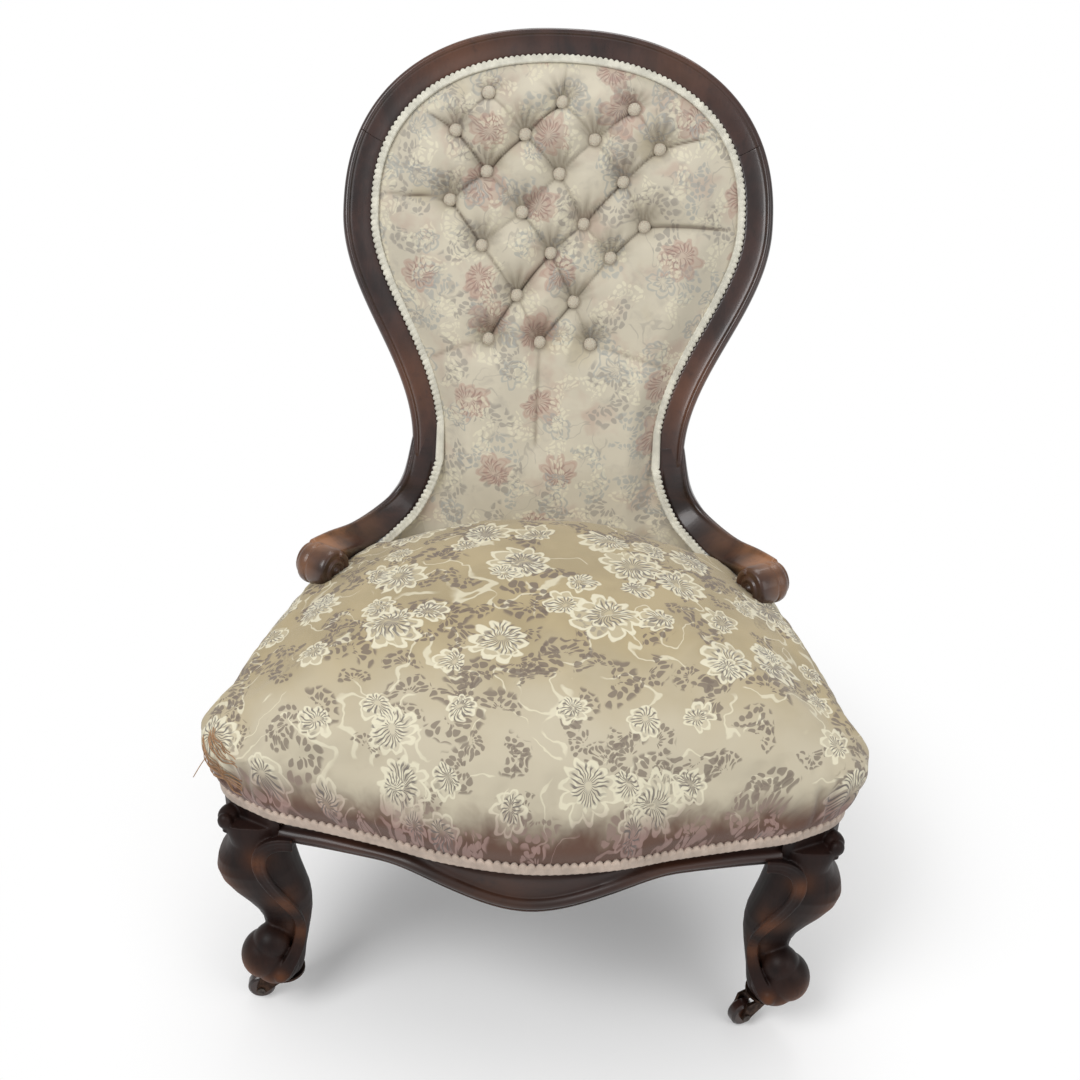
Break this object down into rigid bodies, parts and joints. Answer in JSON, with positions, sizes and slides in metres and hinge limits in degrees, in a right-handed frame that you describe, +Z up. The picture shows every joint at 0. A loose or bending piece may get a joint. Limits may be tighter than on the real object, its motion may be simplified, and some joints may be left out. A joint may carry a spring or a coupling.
{
  "type": "balloon back chair",
  "caption": "Low upholstered chair with a round buttoned back in a show-wood frame, scrolled arms, a sprung seat and castors.",
  "frame": {"origin": "on the floor, under the middle of the whole chair's box", "axes": "+X to the viewer's right as the chair faces the viewer, -Y is the front, +Z up"},
  "size_m": [0.643, 0.695, 0.8972],
  "materials": {
    "show_wood": "dark red-brown polished hardwood, rubbed orange-brown on its edges",
    "dowel_wood": "plain beech",
    "back_fabric": "pale sage-cream floral damask, buttoned",
    "seat_fabric": "golden-tan floral damask, worn and pale at the front",
    "gimp": "cream scalloped braid",
    "linen": "natural jute and fibre",
    "dust_cloth": "black cotton",
    "spring_steel": "copper-washed spring wire, dulled",
    "castor_metal": "browned and worn",
    "castor_wheel": "dark brown hard wheel, scuffed",
    "castor_pin": "dull steel"
  },
  "bodies": {
    "chair": {"crest_rail": "show_wood", "stile_left": "show_wood", "stile_right": "show_wood", "stay_rail": "show_wood", "scroll_arm_left": "show_wood", "scroll_arm_right": "show_wood", "front_rail": "show_wood", "side_rail_left": "show_wood", "side_rail_right": "show_wood", "rear_rail": "show_wood", "frame_dowels": "dowel_wood", "front_leg_left": "show_wood", "front_leg_right": "show_wood", "rear_leg_left": "show_wood", "rear_leg_right": "show_wood", "seat_webbing": "linen", "seat_springs": "spring_steel", "seat_hessian": "linen", "seat_stuffing": "linen", "seat_cover": "seat_fabric", "seat_gimp": "gimp", "dust_cover": "dust_cloth", "back_webbing": "linen", "back_cushion": "back_fabric", "back_buttons": "back_fabric", "back_gimp": "gimp", "outside_back": "back_fabric", "castor_plate_front_left": "castor_metal", "castor_plate_front_right": "castor_metal", "castor_plate_rear_left": "castor_metal", "castor_plate_rear_right": "castor_metal", "castor_screws": "castor_pin"},
    "castor_swivel_front_left": {"castor_fork_front_left": "castor_metal", "castor_axle_front_left": "castor_pin"},
    "castor_roller_front_left": {"castor_wheel_front_left": "castor_wheel"},
    "castor_swivel_front_right": {"castor_fork_front_right": "castor_metal", "castor_axle_front_right": "castor_pin"},
    "castor_roller_front_right": {"castor_wheel_front_right": "castor_wheel"},
    "castor_swivel_rear_left": {"castor_fork_rear_left": "castor_metal", "castor_axle_rear_left": "castor_pin"},
    "castor_roller_rear_left": {"castor_wheel_rear_left": "castor_wheel"},
    "castor_swivel_rear_right": {"castor_fork_rear_right": "castor_metal", "castor_axle_rear_right": "castor_pin"},
    "castor_roller_rear_right": {"castor_wheel_rear_right": "castor_wheel"}
  },
  "joints": [
    {"name": "swivel_front_left", "type": "hinge", "parent": "chair", "child": "castor_swivel_front_left", "pos_m": [-0.25116, -0.26472, 0.037], "axis": [0, 0, 1], "continuous": true},
    {"name": "roll_front_left", "type": "hinge", "parent": "castor_swivel_front_left", "child": "castor_roller_front_left", "pos_m": [-0.27691, -0.26834, 0.014], "axis": [0.1392, -0.9903, 0], "continuous": true},
    {"name": "swivel_front_right", "type": "hinge", "parent": "chair", "child": "castor_swivel_front_right", "pos_m": [0.25116, -0.26472, 0.037], "axis": [0, 0, 1], "continuous": true},
    {"name": "roll_front_right", "type": "hinge", "parent": "castor_swivel_front_right", "child": "castor_roller_front_right", "pos_m": [0.22779, -0.27612, 0.014], "axis": [0.4384, -0.8988, 0], "continuous": true},
    {"name": "swivel_rear_left", "type": "hinge", "parent": "chair", "child": "castor_swivel_rear_left", "pos_m": [-0.151, 0.17722, 0.037], "axis": [0, 0, 1], "continuous": true},
    {"name": "roll_rear_left", "type": "hinge", "parent": "castor_swivel_rear_left", "child": "castor_roller_rear_left", "pos_m": [-0.17599, 0.17005, 0.014], "axis": [0.2756, -0.9613, 0], "continuous": true},
    {"name": "swivel_rear_right", "type": "hinge", "parent": "chair", "child": "castor_swivel_rear_right", "pos_m": [0.151, 0.17722, 0.037], "axis": [0, 0, 1], "continuous": true},
    {"name": "roll_rear_right", "type": "hinge", "parent": "castor_swivel_rear_right", "child": "castor_roller_rear_right", "pos_m": [0.12577, 0.17093, 0.014], "axis": [0.2419, -0.9703, 0], "continuous": true}
  ]
}
